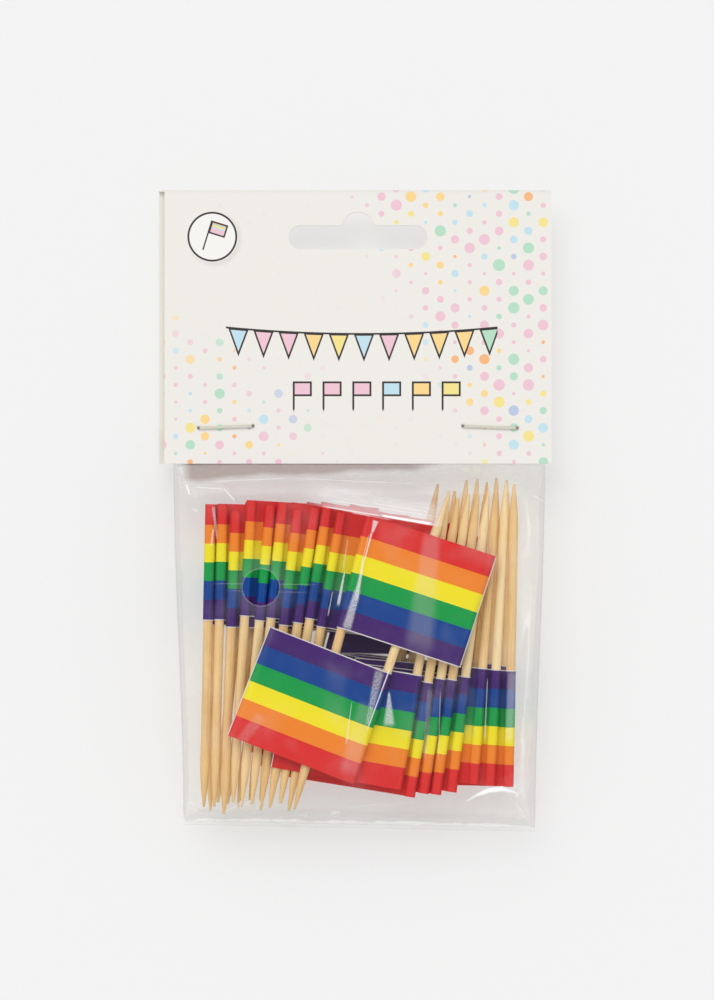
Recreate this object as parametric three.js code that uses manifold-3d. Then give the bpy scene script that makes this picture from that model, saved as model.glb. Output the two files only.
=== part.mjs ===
// A hang-sell packet of paper flag picks. A folded header card is stapled over the mouth of a
// clear film bag, and two bunches of wooden picks lie in it head to tail. Every flag is a strip
// of paper wrapped round its stick and glued to itself. The flags of a bunch lie like shingles:
// each fly runs behind the next sticks, and only the flag of the topmost pick shows whole.
// Millimetres, X right, Y back, Z up. The origin is the top of the hang slot, where a display
// hook carries the packet.
import * as THREE from "three";
import { mergeVertices } from "three/addons/utils/BufferGeometryUtils.js";
import Module from "manifold-3d";

const wasm = await Module();
wasm.setup();

// Picks
const STICK_DIAMETER = 2.0;
const STICK_LENGTH = 65;
const POINT_LENGTH = 8.5;
const TIP_DIAMETER = 0.5;
const END_CHAMFER = 0.15;
const STICK_SIDES = 12;
const REAR_SIDES = 8;
const PAPER = 0.1;
const FLAG_HOIST = 25;
const FLAG_FLY = 27.5;
const PAPER_CLEARANCE = 0.03;

// Rows of picks. A row's gaps are the free widths between one wrapped stick and the next, its
// point gap is the free width between two sticks where their points begin, and its drops say
// how far each pick has slid down towards its point. A topmost pick's flag is glued on askew.
const LAYER_GAP = 0.07;
const ROW_SPAN = 64.9;
const FIRST_LEAN = 1.2;
const TOP_PICK_LIFT = 0.1;
const LEFT_ROW = {
  inset: 0,
  pointGap: 0.2,
  gaps: [0.17, 0.31, 0.59, 0.99, 0.19, 0.64, 0.74, 0.19, 0.54],
  drops: [0.9, 0.8, 2.4, 0, 1.0, 0.5, 2.0, 1.5, 0.6, 2.4],
};
const RIGHT_ROW = {
  inset: 0,
  pointGap: 0.2,
  gaps: [0.97, 0.75, 1.29, 0.54, 0.21, 0.32, 0.43],
  drops: [2.5, 2.7, 3.0, 1.2, 0.6, 0.8, 0, 1.6],
};
const LEFT_REAR = {
  inset: 1.2,
  pointGap: 0.4,
  gaps: [2.9, 0.97, 0.57, 0.54, 0.54, 0.54, 2.4],
  drops: [2.0, 0.4, 0.9, 1.6, 0.3, 0.2, 0.1, 0.3],
};
const RIGHT_REAR = {
  inset: 1.6,
  pointGap: 0.4,
  gaps: [0.87, 1.07, 1.07, 0.32, 0.2, 3.3, 0.3],
  drops: [3.4, 3.9, 3.0, 3.8, 3.6, 1.2, 0.6, 3.4],
};
const LEFT_TOP = { beyond: 4.62, lean: 14.6, drop: 2.67, skew: 3.6 };
const RIGHT_TOP = { beyond: 6.93, lean: 19.0, drop: 2.33, skew: 2.4 };

// Header card
const CARD_WIDTH = 83.2;
const CARD_DROP = 58.8;
const CARD_THICKNESS = 0.35;
const BACK_OVERHANG = 1.2;
const FOLD_RISE = 4.7;
const SLOT_WIDTH = 29.8;
const SLOT_HEIGHT = 5.1;
const BUMP_RISE = 2.9;
const BUMP_RADIUS = 3.55;
const SLOT_FILLET = 0.9;

// Staples
const WIRE_THICKNESS = 0.4;
const WIRE_WIDTH = 0.6;
const CROWN = 12.2;
const CLINCH = 4.6;
const STAPLE_BEND = 0.6;
const STAPLE_HEIGHT = 7.9;
const STAPLE_INSET = 7.1;
const STAPLE_TILT = 2.1;
const LEG_CLEARANCE = 0.15;
const SEAT = 0.06;

// Film bag
const FILM = 0.2;
const MOUTH_GAP = 0.3;
const MOUTH_RISE = 30;
const CARD_MARGIN = 1.6;
const FILM_CLEARANCE = 0.6;
const FOOT_ROOM = 5.3;
const BAG_SHIFT = 0.3;
const TIP_ROOM = 1.2;
const POINT_ROOM = 6.85;
const BUNCH_OFFSET = 0.95;
const SHOULDER_ABOVE = 3.5;
const SHOULDER_LENGTH = 10.5;
const TOE_LENGTH = 8.6;
const TOE_ROUNDNESS = 2.5;
const TOE_SHARES = [0, 0.3, 0.55, 0.75, 0.88, 0.96, 1];
const SEAL_HEIGHT = 0.8;
const BOTTOM_SLANT = 1.5;
const SQUARENESS = 5;
const VENT_DIAMETER = 7.8;
const VENT_X = -20.75;
const VENT_DROP = 26.5;
const VENT_SIDES = 24;
const RING_POINTS = 40;

// Sizes that follow from the values above
const radians = THREE.MathUtils.degToRad;
const stickRadius = STICK_DIAMETER / 2;
const boreRadius = stickRadius + PAPER_CLEARANCE;
const wrapRadius = boreRadius + PAPER;
const flyThickness = 2 * PAPER;
const layer = flyThickness + LAYER_GAP;
const waist = STICK_LENGTH - FLAG_HOIST;
const cardBottom = FOLD_RISE - CARD_DROP;
const rightFoot = cardBottom - POINT_ROOM;
const leftFoot = rightFoot - STICK_LENGTH - BUNCH_OFFSET;

// Depth of each row of sticks, with the topmost picks in front
const frontFly = stickRadius + LAYER_GAP + flyThickness + layer + TOP_PICK_LIFT;
const topToFront = 2 * wrapRadius + layer + LAYER_GAP;
const behindStick = boreRadius + flyThickness;
const frontFall = Math.max(deepestFall(LEFT_ROW), deepestFall(RIGHT_ROW));
const rearFall = Math.max(deepestFall(LEFT_REAR), deepestFall(RIGHT_REAR));
const frontToRear = behindStick + frontFall + LAYER_GAP + wrapRadius;
const contentsDepth = frontFly + topToFront + frontToRear + behindStick + rearFall;
const halfDepth = contentsDepth / 2 + FILM_CLEARANCE;
const topRow = frontFly - contentsDepth / 2;
const frontRow = topRow + topToFront;
const rearRow = frontRow + frontToRear;

const birch = new THREE.MeshStandardMaterial({ color: 0xe3c48f, roughness: 0.75 });
const printedPaper = new THREE.MeshStandardMaterial({ color: 0xe8b53a, roughness: 0.45 });
const board = new THREE.MeshStandardMaterial({ color: 0xf1eee9, roughness: 0.7 });
const wire = new THREE.MeshStandardMaterial({ color: 0x9a9c9e, roughness: 0.35, metalness: 1 });
const clearFilm = new THREE.MeshStandardMaterial({
  color: 0xf4f6f8,
  roughness: 0.08,
  transparent: true,
  opacity: 0.25,
});

// A closed mesh with shared vertices and no collapsed triangles.
function closed(geometry) {
  const bare = geometry.clone();
  bare.deleteAttribute("normal");
  bare.deleteAttribute("uv");
  const merged = mergeVertices(bare, 1e-4);
  const index = merged.index.array;
  const kept = [];
  for (let i = 0; i < index.length; i += 3) {
    const [a, b, c] = [index[i], index[i + 1], index[i + 2]];
    if (a !== b && b !== c && a !== c) kept.push(a, b, c);
  }
  merged.setIndex(kept);
  return merged;
}

function solidOf(geometry) {
  const mesh = closed(geometry);
  return new wasm.Manifold(
    new wasm.Mesh({
      numProp: 3,
      vertProperties: new Float32Array(mesh.attributes.position.array),
      triVerts: new Uint32Array(mesh.index.array),
    }),
  );
}

function geometryOf(solid) {
  const mesh = solid.getMesh();
  const geometry = new THREE.BufferGeometry();
  geometry.setAttribute("position", new THREE.BufferAttribute(mesh.vertProperties, 3));
  geometry.setIndex(new THREE.BufferAttribute(mesh.triVerts, 1));
  return geometry;
}

function piece(name, geometry, material) {
  const mesh = new THREE.Mesh(geometry, material);
  mesh.name = name;
  return mesh;
}

// A turned stick along +Z with its point at the origin. The point swells like an ogive.
function stickGeometry(sides) {
  const tip = TIP_DIAMETER / 2;
  const swell = (share) => tip + (stickRadius - tip) * Math.sin((share * Math.PI) / 2);
  const profile = [new THREE.Vector2(0, 0), new THREE.Vector2(tip, 0)];
  for (const share of [0.3, 0.65, 1]) {
    profile.push(new THREE.Vector2(swell(share), share * POINT_LENGTH));
  }
  profile.push(
    new THREE.Vector2(stickRadius, STICK_LENGTH - END_CHAMFER),
    new THREE.Vector2(stickRadius - END_CHAMFER, STICK_LENGTH),
    new THREE.Vector2(0, STICK_LENGTH),
  );
  return closed(new THREE.LatheGeometry(profile, sides).rotateX(Math.PI / 2));
}

// A flag in section: a ring of paper round the stick, and a doubled fly along +X that leaves it
// at the back (side 1) or at the front (side -1). fall(u) is how far the fly has sunk at u.
function flagSection({ side, fall, stops, sides, hollow }) {
  const turn = (2 * Math.PI) / sides;
  const ringPoint = (radius, step) => {
    const angle = Math.PI / 2 - step * turn;
    return new THREE.Vector2(radius * Math.cos(angle), side * radius * Math.sin(angle));
  };
  const first = ringPoint(wrapRadius, 1);
  const meet = (first.x * PAPER) / (wrapRadius - side * first.y);
  const points = [new THREE.Vector2(meet, side * boreRadius)];
  for (let step = 1; step < sides; step++) points.push(ringPoint(wrapRadius, step));
  const along = [0, ...stops, FLAG_FLY];
  for (const u of along) {
    points.push(new THREE.Vector2(u, side * (boreRadius + flyThickness + fall(u))));
  }
  for (const u of along.slice(1).reverse()) {
    points.push(new THREE.Vector2(u, side * (boreRadius + fall(u))));
  }
  if (THREE.ShapeUtils.isClockWise(points)) points.reverse();
  const shape = new THREE.Shape(points);
  if (hollow) {
    const bore = [];
    for (let step = 0; step < sides; step++) bore.push(ringPoint(boreRadius, step));
    shape.holes.push(new THREE.Path(bore));
  }
  return shape;
}

// A flag on its stick. A skew turns the fly's free edges and leaves the wrap as it is.
function flagGeometry({ skew = 0, ...section }) {
  const flag = new THREE.ExtrudeGeometry(flagSection(section), {
    depth: FLAG_HOIST,
    bevelEnabled: false,
  });
  const position = flag.attributes.position;
  for (let i = 0; i < position.count; i++) {
    const past = Math.max(0, position.getX(i) - wrapRadius);
    const share = past / (FLAG_FLY - wrapRadius);
    const height = position.getZ(i) - FLAG_HOIST / 2;
    position.setX(i, position.getX(i) + Math.tan(skew) * height * share);
    position.setZ(i, position.getZ(i) - Math.tan(skew) * past);
  }
  return closed(flag.translate(0, 0, waist));
}

// How a fly sinks layer by layer behind the sticks that follow, and then runs flat.
function shingleFall(slope, flatFrom) {
  const flat = Math.max(wrapRadius, flatFrom);
  const fall = (u) => slope * Math.min(u, flat);
  return { fall, stops: flat < FLAG_FLY ? [flat] : [] };
}

// The picks of one row in the bunch's own frame, whose X starts at the outermost stick.
function layRow(row) {
  const picks = [];
  let atWaist = row.inset;
  let atPoint = row.inset - Math.tan(radians(FIRST_LEAN)) * (waist - POINT_LENGTH);
  row.drops.forEach((drop, i) => {
    if (i > 0) {
      atWaist += 2 * wrapRadius + row.gaps[i - 1];
      atPoint += STICK_DIAMETER + row.pointGap;
    }
    const lean = Math.atan((atWaist - atPoint) / (waist - POINT_LENGTH));
    picks.push({ atWaist, lean, drop });
  });
  return picks;
}

// Turns a pick about its waist, so that it leans to the right, and lets it down by its drop.
function place(object, { atWaist, lean, drop }, depth) {
  object.position.set(
    atWaist - Math.sin(lean) * (waist + drop),
    depth,
    waist - Math.cos(lean) * (waist + drop),
  );
  object.rotation.y = lean;
  return object;
}

function pick(name, at, depth, section) {
  const group = new THREE.Group();
  const full = { sides: STICK_SIDES, hollow: true, ...section };
  group.add(piece("stick_" + name, stickGeometry(full.sides), birch));
  group.add(piece("flag_" + name, flagGeometry(full), printedPaper));
  return place(group, at, depth);
}

// A pick of the rear row: its stick and its flag are joined in one piece.
function joinedPick(name, at, depth, section) {
  const stick = solidOf(stickGeometry(REAR_SIDES));
  const flag = solidOf(flagGeometry({ sides: REAR_SIDES, hollow: false, ...section }));
  const mesh = piece("pick_" + name, geometryOf(stick.add(flag)), birch);
  return place(mesh, at, depth);
}

// The flies of a row all sink at one slope, so that they lie parallel, and run flat past the row.
function rowSections(picks) {
  const steps = picks.slice(1).map((p, i) => p.atWaist - picks[i].atWaist);
  const slope = layer / Math.min(...steps);
  const last = picks[picks.length - 1].atWaist;
  const pastRow = layer / slope;
  return picks.map((p) => ({ side: 1, ...shingleFall(slope, last - p.atWaist + pastRow) }));
}

function deepestFall(row) {
  return Math.max(...rowSections(layRow(row)).map((section) => section.fall(FLAG_FLY)));
}

// One bunch: a front row, a rear row and the topmost pick, whose fly passes in front.
function bunch(side, row, rear, top, topLift, lastInFront) {
  const group = new THREE.Group();
  const picks = layRow(row);
  const sections = rowSections(picks);
  if (lastInFront) {
    const lift = shingleFall(TOP_PICK_LIFT / wrapRadius, wrapRadius);
    sections[sections.length - 1] = { side: -1, ...lift };
  }
  picks.forEach((at, i) => {
    group.add(pick(side + "_" + String(i + 1).padStart(2, "0"), at, frontRow, sections[i]));
  });
  const rearPicks = layRow(rear);
  const rearSections = rowSections(rearPicks);
  rearPicks.forEach((at, i) => {
    group.add(joinedPick(side + "_rear_" + (i + 1), at, rearRow, rearSections[i]));
  });
  const last = picks[picks.length - 1];
  const topAt = {
    atWaist: last.atWaist + top.beyond,
    lean: radians(top.lean),
    drop: top.drop,
  };
  const reach = 4 * wrapRadius;
  const topSection = {
    side: -1,
    fall: (u) => topLift * Math.min(1, u / reach),
    stops: [reach],
    skew: radians(top.skew),
  };
  group.add(pick(side + "_top", topAt, topRow, topSection));
  return group;
}

function bunches() {
  const left = bunch("left", LEFT_ROW, LEFT_REAR, LEFT_TOP, TOP_PICK_LIFT, false);
  left.position.set(-ROW_SPAN / 2 + BAG_SHIFT, 0, leftFoot);
  const rightLift = TOP_PICK_LIFT + layer;
  const right = bunch("right", RIGHT_ROW, RIGHT_REAR, RIGHT_TOP, rightLift, true);
  right.position.set(ROW_SPAN / 2 + BAG_SHIFT, 0, rightFoot);
  right.rotation.y = Math.PI;
  return [left, right];
}

// Where a staple sits: its crown runs across the card, level but for a small tilt.
function stapleMatrix(side) {
  const centre = side * (CARD_WIDTH / 2 - STAPLE_INSET - CROWN / 2);
  const matrix = new THREE.Matrix4().makeRotationY(side * radians(STAPLE_TILT));
  return matrix.setPosition(centre, 0, cardBottom + STAPLE_HEIGHT);
}

// Depth from the middle plane to the card's inner and outer face where the staples pinch it.
const filmFace = MOUTH_GAP / 2 + FILM;
const cardInner = filmFace + SEAT;
const cardOuter = cardInner + CARD_THICKNESS;
const throughCard = 4 * cardOuter;

// A staple of flat wire: crown in front, legs through card and film, ends clinched behind.
function stapleGeometry() {
  const front = -cardOuter - SEAT;
  const back = cardOuter + SEAT;
  const half = CROWN / 2;
  const t = WIRE_THICKNESS;
  const r = STAPLE_BEND;
  const outline = new THREE.Shape();
  outline.moveTo(-half + t, front);
  outline.lineTo(half - t, front);
  outline.lineTo(half - t, back);
  outline.lineTo(half - CLINCH, back);
  outline.lineTo(half - CLINCH, back + t / 2);
  outline.lineTo(half - CLINCH + t, back + t);
  outline.lineTo(half - r, back + t);
  outline.absarc(half - r, back + t - r, r, Math.PI / 2, 0, true);
  outline.lineTo(half, front - t + r);
  outline.absarc(half - r, front - t + r, r, 0, -Math.PI / 2, true);
  outline.lineTo(-half + r, front - t);
  outline.absarc(-half + r, front - t + r, r, -Math.PI / 2, -Math.PI, true);
  outline.lineTo(-half, back + t - r);
  outline.absarc(-half + r, back + t - r, r, Math.PI, Math.PI / 2, true);
  outline.lineTo(-half + CLINCH - t, back + t);
  outline.lineTo(-half + CLINCH, back + t / 2);
  outline.lineTo(-half + CLINCH, back);
  outline.lineTo(-half + t, back);
  outline.lineTo(-half + t, front);
  const bent = new THREE.ExtrudeGeometry(outline, {
    depth: WIRE_WIDTH,
    bevelEnabled: false,
    curveSegments: 4,
  });
  return closed(bent.translate(0, 0, -WIRE_WIDTH / 2));
}

// The holes that a staple's two legs make in whatever they pass through.
function legHoles(side) {
  const across = WIRE_THICKNESS + 2 * LEG_CLEARANCE;
  const up = WIRE_WIDTH + 2 * LEG_CLEARANCE;
  const holes = [-1, 1].map((end) => {
    const hole = new THREE.BoxGeometry(across, throughCard, up);
    hole.translate(end * (CROWN / 2 - WIRE_THICKNESS / 2), 0, 0);
    return solidOf(hole.applyMatrix4(stapleMatrix(side)));
  });
  return holes[0].add(holes[1]);
}

// The hang slot: a long slot with round ends and a bump at the middle of its upper edge, whose
// feet are filleted. Its highest point is the origin.
function slotShape() {
  const end = SLOT_HEIGHT / 2;
  const straight = SLOT_WIDTH / 2 - end;
  const top = -BUMP_RISE;
  const bumpCentre = -BUMP_RADIUS;
  const toFillet = BUMP_RADIUS + SLOT_FILLET;
  const filletLevel = top + SLOT_FILLET;
  const foot = Math.sqrt(toFillet ** 2 - (filletLevel - bumpCentre) ** 2);
  const bumpAngle = Math.atan2(filletLevel - bumpCentre, foot);
  const shape = new THREE.Shape();
  shape.moveTo(-straight, top - SLOT_HEIGHT);
  shape.lineTo(straight, top - SLOT_HEIGHT);
  shape.absarc(straight, top - end, end, -Math.PI / 2, Math.PI / 2, false);
  shape.lineTo(foot, top);
  shape.absarc(foot, filletLevel, SLOT_FILLET, -Math.PI / 2, -Math.PI + bumpAngle, true);
  shape.absarc(0, bumpCentre, BUMP_RADIUS, bumpAngle, Math.PI - bumpAngle, false);
  shape.absarc(-foot, filletLevel, SLOT_FILLET, -bumpAngle, -Math.PI / 2, true);
  shape.lineTo(-straight, top);
  shape.absarc(-straight, top - end, end, Math.PI / 2, (3 * Math.PI) / 2, false);
  return shape;
}

// The card in section, from below the front panel over the fold to below the back panel. Below
// the staples the bag's shoulder spreads the two panels.
function cardSection() {
  const panel = cardBottom + STAPLE_HEIGHT - STAPLE_BEND;
  const spread = filmHalfDepth(cardBottom) + SEAT;
  const foldLevel = FOLD_RISE - cardOuter;
  const shape = new THREE.Shape();
  shape.moveTo(-spread, cardBottom);
  shape.lineTo(-cardInner, panel);
  shape.lineTo(-cardInner, foldLevel);
  shape.absarc(0, foldLevel, cardInner, Math.PI, 0, true);
  shape.lineTo(cardInner, panel);
  shape.lineTo(spread, cardBottom);
  shape.lineTo(spread + CARD_THICKNESS, cardBottom);
  shape.lineTo(cardOuter, panel);
  shape.lineTo(cardOuter, foldLevel);
  shape.absarc(0, foldLevel, cardOuter, 0, Math.PI, false);
  shape.lineTo(-cardOuter, panel);
  shape.lineTo(-spread - CARD_THICKNESS, cardBottom);
  return shape;
}

function cardGeometry() {
  const width = CARD_WIDTH + BACK_OVERHANG;
  const folded = new THREE.ExtrudeGeometry(cardSection(), {
    depth: width,
    bevelEnabled: false,
    curveSegments: 8,
  });
  // The section is drawn in Y and Z, so the extrusion is turned to run along X.
  const toWidth = new THREE.Matrix4().makeBasis(
    new THREE.Vector3(0, 1, 0),
    new THREE.Vector3(0, 0, 1),
    new THREE.Vector3(1, 0, 0),
  );
  folded.applyMatrix4(toWidth).translate(-CARD_WIDTH / 2 - BACK_OVERHANG, 0, 0);
  const slot = new THREE.ExtrudeGeometry(slotShape(), {
    depth: throughCard,
    bevelEnabled: false,
    curveSegments: 8,
  });
  slot.rotateX(Math.PI / 2).translate(0, throughCard / 2, 0);
  // The fold is a little out of square: the back panel shows beside the front one's left edge.
  const trim = new THREE.Shape([
    new THREE.Vector2(-CARD_WIDTH / 2, FOLD_RISE - CARD_THICKNESS),
    new THREE.Vector2(-CARD_WIDTH / 2, cardBottom - CARD_THICKNESS),
    new THREE.Vector2(-CARD_WIDTH, cardBottom - CARD_THICKNESS),
    new THREE.Vector2(-CARD_WIDTH, FOLD_RISE - CARD_THICKNESS),
  ]);
  const frontOnly = new THREE.ExtrudeGeometry(trim, { depth: halfDepth, bevelEnabled: false });
  frontOnly.rotateX(Math.PI / 2);
  const cuts = [solidOf(slot), solidOf(frontOnly), legHoles(-1), legHoles(1)];
  return geometryOf(cuts.reduce((card, cut) => card.subtract(cut), solidOf(folded)));
}

// Levels of the bag, from its mouth under the card to its sealed foot
const mouthLevel = cardBottom + MOUTH_RISE;
const shoulderTop = cardBottom + SHOULDER_ABOVE;
const lowestTip = leftFoot - Math.max(...LEFT_ROW.drops, ...LEFT_REAR.drops);
const sealTop = lowestTip - TIP_ROOM;
const toeTop = sealTop + TOE_LENGTH;

const smooth = (share) => share * share * (3 - 2 * share);
const toeShare = (level) => THREE.MathUtils.clamp((toeTop - level) / TOE_LENGTH, 0, 1);

// Half the bag's outer depth at a level: flat under the card, full at the flags, round below.
function filmHalfDepth(level) {
  const flat = filmFace;
  const full = halfDepth + FILM;
  const into = THREE.MathUtils.clamp((shoulderTop - level) / SHOULDER_LENGTH, 0, 1);
  const upper = flat + (full - flat) * smooth(into);
  const toe = Math.pow(1 - Math.pow(toeShare(level), TOE_ROUNDNESS), 1 / TOE_ROUNDNESS);
  return FILM + (upper - FILM) * toe;
}

// Half the bag's outer width at a level.
function filmHalfWidth(level) {
  const topHalf = CARD_WIDTH / 2 - CARD_MARGIN;
  const footHalf = ROW_SPAN / 2 + FOOT_ROOM;
  const share = THREE.MathUtils.clamp((cardBottom - level) / (cardBottom - sealTop), 0, 1);
  return topHalf + (footHalf - topHalf) * smooth(share);
}

// One ring of the bag, a superellipse drawn in by inset, as points of X, Y and Z. Round the toe
// an inset ring also rises, which keeps the film's thickness, and rise moves any ring up.
function ring(level, inset, rise = 0) {
  const half = filmHalfWidth(level);
  const depth = Math.max(filmHalfDepth(level) - inset, MOUTH_GAP / 2);
  const lowered = THREE.MathUtils.clamp((cardBottom - level) / (cardBottom - toeTop), 0, 1);
  const height = level + inset * toeShare(level) + rise;
  const power = 2 / SQUARENESS;
  const points = [];
  for (let i = 0; i < RING_POINTS; i++) {
    const angle = (2 * Math.PI * i) / RING_POINTS;
    const [c, s] = [Math.cos(angle), Math.sin(angle)];
    const x = (half - inset) * Math.sign(c) * Math.abs(c) ** power;
    const y = depth * Math.sign(s) * Math.abs(s) ** power;
    const slant = BOTTOM_SLANT * lowered * (0.5 + x / (2 * half));
    points.push(BAG_SHIFT + x, y, height - slant);
  }
  return points;
}

// Skins a stack of rings into one closed surface, with a fan over each end.
function skinRings(rings) {
  const positions = rings.flat();
  const index = [];
  const n = RING_POINTS;
  for (let r = 0; r + 1 < rings.length; r++) {
    for (let i = 0; i < n; i++) {
      const j = (i + 1) % n;
      const [a, b] = [r * n + i, r * n + j];
      const [c, d] = [a + n, b + n];
      index.push(a, c, b, b, c, d);
    }
  }
  const fan = (start, flip) => {
    const centre = positions.length / 3;
    const sum = new THREE.Vector3();
    for (let i = 0; i < n; i++) sum.add(new THREE.Vector3().fromArray(positions, 3 * (start + i)));
    positions.push(...sum.divideScalar(n).toArray());
    for (let i = 0; i < n; i++) {
      const [a, b] = [start + i, start + ((i + 1) % n)];
      index.push(centre, ...(flip ? [b, a] : [a, b]));
    }
  };
  fan(0, false);
  fan((rings.length - 1) * n, true);
  const geometry = new THREE.BufferGeometry();
  geometry.setAttribute("position", new THREE.Float32BufferAttribute(positions, 3));
  geometry.setIndex(index);
  return geometry;
}

function bagGeometry() {
  const levels = (from, to, count) =>
    Array.from({ length: count }, (_, i) => from + ((to - from) * i) / count);
  const outerLevels = [
    ...levels(mouthLevel, shoulderTop, 2),
    ...levels(shoulderTop, shoulderTop - SHOULDER_LENGTH, 8),
    ...levels(shoulderTop - SHOULDER_LENGTH, toeTop, 4),
  ];
  for (const share of TOE_SHARES) outerLevels.push(toeTop - share * TOE_LENGTH);
  const outer = outerLevels.map((level) => ring(level, 0));
  const inner = outerLevels.slice(0, -1).map((level) => ring(level, FILM));
  const lofted = skinRings([...outer, ring(sealTop, 0, -SEAL_HEIGHT)]);
  const hollow = skinRings([ring(mouthLevel, FILM, FILM), ...inner]);
  const ventRadius = VENT_DIAMETER / 2;
  const vent = new THREE.CylinderGeometry(ventRadius, ventRadius, halfDepth, VENT_SIDES);
  vent.translate(VENT_X, -halfDepth, cardBottom - VENT_DROP);
  const cuts = [solidOf(hollow), solidOf(vent), legHoles(-1), legHoles(1)];
  return geometryOf(cuts.reduce((bag, cut) => bag.subtract(cut), solidOf(lofted)));
}

const packet = new THREE.Group();
packet.add(piece("header_card", cardGeometry(), board));
packet.add(piece("bag", bagGeometry(), clearFilm));
for (const [name, side] of [["staple_left", -1], ["staple_right", 1]]) {
  const staple = piece(name, stapleGeometry(), wire);
  staple.applyMatrix4(stapleMatrix(side));
  packet.add(staple);
}
packet.add(...bunches());

export default packet;
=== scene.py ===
import math

import bpy
import numpy as np
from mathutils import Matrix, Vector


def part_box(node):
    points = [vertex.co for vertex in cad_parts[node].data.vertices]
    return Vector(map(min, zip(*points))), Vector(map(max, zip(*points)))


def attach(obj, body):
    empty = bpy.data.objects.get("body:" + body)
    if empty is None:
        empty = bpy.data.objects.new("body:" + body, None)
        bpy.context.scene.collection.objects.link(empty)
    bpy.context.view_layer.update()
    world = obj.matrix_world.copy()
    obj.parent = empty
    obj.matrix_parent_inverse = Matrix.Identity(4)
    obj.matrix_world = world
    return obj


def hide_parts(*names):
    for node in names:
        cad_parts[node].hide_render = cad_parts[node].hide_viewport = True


# The packet hangs from its card's slot, whose top is the origin. The front faces -Y and the
# viewer's right is +X.
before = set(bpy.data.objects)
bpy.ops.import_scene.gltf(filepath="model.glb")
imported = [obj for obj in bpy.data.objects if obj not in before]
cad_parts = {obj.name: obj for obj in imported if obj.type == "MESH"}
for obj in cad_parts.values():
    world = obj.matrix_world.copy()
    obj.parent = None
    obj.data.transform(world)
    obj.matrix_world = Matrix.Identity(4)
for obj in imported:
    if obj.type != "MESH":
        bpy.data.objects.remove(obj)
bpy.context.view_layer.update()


# The view: straight on, as on a product page, from far enough that the bag hardly swells. Sizes
# are in millimetres, which MM turns into metres, and a photograph's pixel is 1 / 4.65 mm on the
# card.
MM = 0.001
PIXELS_PER_MM = 4.65
LONG_SIDE = 1000
VIEW_CENTRE = (-0.2, -61.9)
VIEW_DISTANCE = 1500
SENSOR = 36
NEAREST = 50
FURTHEST = 20000

camera = bpy.data.objects.new("camera", bpy.data.cameras.new("camera"))
camera.data.sensor_width = SENSOR
camera.data.lens = SENSOR * VIEW_DISTANCE * PIXELS_PER_MM / LONG_SIDE
camera.data.clip_start = NEAREST * MM
camera.data.clip_end = FURTHEST * MM
camera.location = (VIEW_CENTRE[0] * MM, -VIEW_DISTANCE * MM, VIEW_CENTRE[1] * MM)
camera.rotation_euler = (math.pi / 2, 0, 0)
bpy.context.scene.collection.objects.link(camera)
bpy.context.scene.camera = camera
bpy.context.scene.view_settings.view_transform = "Standard"


# The table top that the packet lies on, seen from above in the photograph: a plain pale board in
# a studio's soft light. It shows from its upper side only, so that the packet's back can be seen.
# Its finish is the first, so what all finishes are written in stands here.
TABLE_DEPTH = 7.9
TABLE_HALF = 3000
TABLE_LIT = 0.56
DAYLIGHT = 0.77
MIRRORED = 0.34
SUN_AWAY = 1000
SUN_SOFTNESS = 44
SUNS = [
    ("key_light", (-0.24, -1.0, 0.72), 1.12),
    ("back_light", (0.4, 1.0, 0.7), 0.7),
]
SOFT_BOXES = [
    ("left_box", (-900, -900, 500), 500, 900, 6),
    ("right_box", (800, -1100, -200), 160, 900, 3),
    ("rear_box", (700, 1000, 500), 500, 700, 4),
]
AIMED_AT = (0, 0, -75)


def linear(red, green, blue):
    """A colour in 0 to 255 as light: the display's curve is taken off each channel."""
    share = np.array([red, green, blue]) / 255
    low = share / 12.92
    high = ((share + 0.055) / 1.055) ** 2.4
    return (*np.where(share <= 0.04045, low, high).tolist(), 1.0)


class Tone:
    """A number that varies over a surface. Each sum on it adds a Math node to its tree."""

    def __init__(self, nodes, socket):
        self.nodes = nodes
        self.socket = socket

    def math(self, operation, *others, clamp=False):
        """One Math node on the tone and the others."""
        settings = {"operation": operation, "use_clamp": clamp}
        return self.nodes.add("ShaderNodeMath", settings, dict(enumerate((self, *others))))

    def __add__(self, other):
        return self.math("ADD", other)

    def __sub__(self, other):
        return self.math("SUBTRACT", other)

    def __rsub__(self, other):
        return self.math("MULTIPLY_ADD", -1, other)

    def __mul__(self, other):
        return self.math("MULTIPLY", other)

    def __truediv__(self, other):
        return self.math("DIVIDE", other)

    def __pow__(self, power):
        return self.math("POWER", power)

    def __abs__(self):
        return self.math("ABSOLUTE")

    __radd__ = __add__
    __rmul__ = __mul__

    def floor(self):
        return self.math("FLOOR")

    def most(self, other):
        """The larger of the two."""
        return self.math("MAXIMUM", other)

    def least(self, other):
        """The smaller of the two."""
        return self.math("MINIMUM", other)

    def kept(self):
        """The tone cut off below 0 and above 1."""
        return self.math("ADD", 0, clamp=True)

    def rise(self, start, end):
        """0 before start, 1 after end, and an S curve between them, whichever is larger."""
        values = {"Value": self, "From Min": start, "From Max": end}
        settings = {"interpolation_type": "SMOOTHSTEP"}
        return self.nodes.add("ShaderNodeMapRange", settings, values)


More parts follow.
